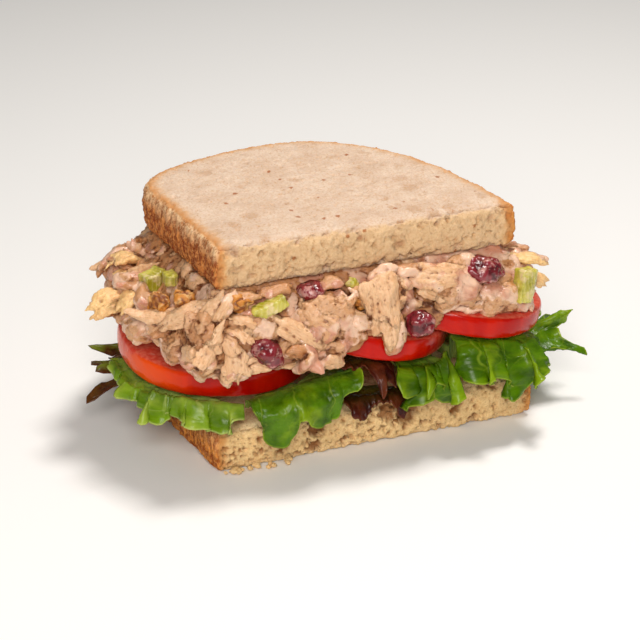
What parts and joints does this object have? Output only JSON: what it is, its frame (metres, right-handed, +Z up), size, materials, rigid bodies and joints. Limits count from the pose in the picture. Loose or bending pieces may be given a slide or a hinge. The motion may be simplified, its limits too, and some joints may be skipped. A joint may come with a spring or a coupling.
{
  "type": "chicken salad sandwich",
  "caption": "Half sandwich cut straight across: bread, lettuce, tomato slices and chicken salad with cranberry, celery and walnut.",
  "frame": {"origin": "underside of the bottom bread slice, midway along its cut edge and about midway from the cut to the crust", "axes": "+X along the cut face, +Y from the cut face towards the rounded crust at the back, +Z up"},
  "size_m": [0.1781, 0.1208, 0.0846],
  "materials": {
    "bread": "baked crumb and crust",
    "tomato": "wet glossy skin",
    "green_lettuce": "fresh satin leaf",
    "red_lettuce": "fresh satin leaf",
    "chicken_salad": "moist, coated with dressing",
    "cranberry": "moist wrinkled skin",
    "celery": "moist",
    "walnut": "dry"
  },
  "bodies": {
    "root": {"bread_bottom": "bread", "bread_top": "bread", "tomato_left": "tomato", "tomato_middle": "tomato", "tomato_right": "tomato", "lettuce_front_left": "green_lettuce", "lettuce_front": "green_lettuce", "lettuce_front_right": "green_lettuce", "lettuce_right": "green_lettuce", "lettuce_right_end": "green_lettuce", "lettuce_right_back": "green_lettuce", "lettuce_back": "green_lettuce", "lettuce_back_left": "green_lettuce", "lettuce_bed_right": "green_lettuce", "lettuce_bed_left": "green_lettuce", "lettuce_red_low": "red_lettuce", "lettuce_red_high": "red_lettuce", "lettuce_red_left": "red_lettuce", "chicken_salad": "chicken_salad", "cranberry_upper_right": "cranberry", "cranberry_middle": "cranberry", "cranberry_lower_left": "cranberry", "cranberry_under_bread": "cranberry", "cranberry_right_side": "cranberry", "cranberry_back": "cranberry", "cranberry_back_right": "cranberry", "celery_front_left": "celery", "celery_left": "celery", "celery_right": "celery", "celery_low_left": "celery", "celery_middle": "celery", "celery_left_edge": "celery", "celery_back": "celery", "celery_back_left": "celery", "celery_right_side": "celery", "walnut_left": "walnut", "walnut_corner": "walnut", "walnut_under_bread": "walnut", "walnut_middle": "walnut", "walnut_back": "walnut"}
  },
  "joints": []
}
